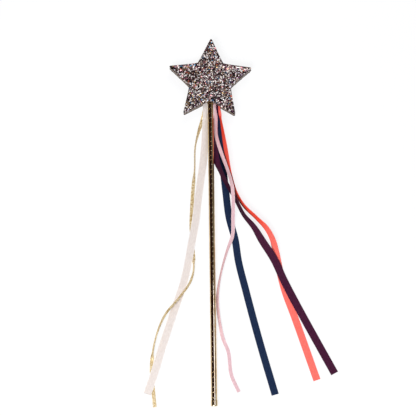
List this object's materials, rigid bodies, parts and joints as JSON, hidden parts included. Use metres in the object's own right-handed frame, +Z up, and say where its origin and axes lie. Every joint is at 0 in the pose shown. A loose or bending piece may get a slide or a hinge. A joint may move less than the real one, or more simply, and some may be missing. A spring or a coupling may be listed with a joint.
{
  "type": "toy magic wand",
  "caption": "Toy magic wand: a padded glitter star on a gold foil-wrapped stick, with loose ribbons hanging from the star's lower corner.",
  "frame": {"origin": "on the floor under the middle of the wand's box, the wand lying on its back", "axes": "+Y along the stick from the tail to the star's upper point, +Z up out of the star's front, +X to the right seen from the front"},
  "size_m": [0.181, 0.3562, 0.01],
  "materials": {
    "glitter_front": "chunky mixed glitter on woven backing, silver with rose, plum, gold and blue flakes",
    "glitter_back": "the same chunky glitter fabric",
    "foam": "matte taupe padding",
    "stick_wood": "bare round stick",
    "gold_foil": "mirror-bright gold metallised film, wound in a spiral",
    "cream_ribbon": "cream ribbon with woven edges",
    "gold_ribbon": "gold lurex ribbon",
    "pink_ribbon": "pale pink satin ribbon",
    "navy_ribbon": "navy grosgrain ribbon",
    "coral_ribbon": "coral satin ribbon",
    "plum_ribbon": "plum grosgrain ribbon"
  },
  "bodies": {
    "wand": {"star_front_sheet": "glitter_front", "star_back_sheet": "glitter_back", "star_front_pad": "foam", "star_back_pad": "foam", "dowel": "stick_wood", "foil_wrap": "gold_foil", "tail_cap": "gold_foil", "cream_end": "cream_ribbon", "gold_end": "gold_ribbon", "pink_end": "pink_ribbon", "navy_end": "navy_ribbon", "coral_end": "coral_ribbon", "plum_end": "plum_ribbon"},
    "left_ribbons": {"cream_ribbon": "cream_ribbon", "gold_ribbon": "gold_ribbon"},
    "right_ribbons": {"pink_ribbon": "pink_ribbon", "navy_ribbon": "navy_ribbon", "coral_ribbon": "coral_ribbon", "plum_ribbon": "plum_ribbon"}
  },
  "joints": [
    {"name": "left_ribbons_swing", "type": "hinge", "parent": "wand", "child": "left_ribbons", "pos_m": [-0.0075, 0.1077, 0.005], "axis": [0, 0, 1], "range_deg": [-45, 0]},
    {"name": "right_ribbons_swing", "type": "hinge", "parent": "wand", "child": "right_ribbons", "pos_m": [0.0107, 0.1077, 0.005], "axis": [0, 0, 1], "range_deg": [0, 40]}
  ]
}
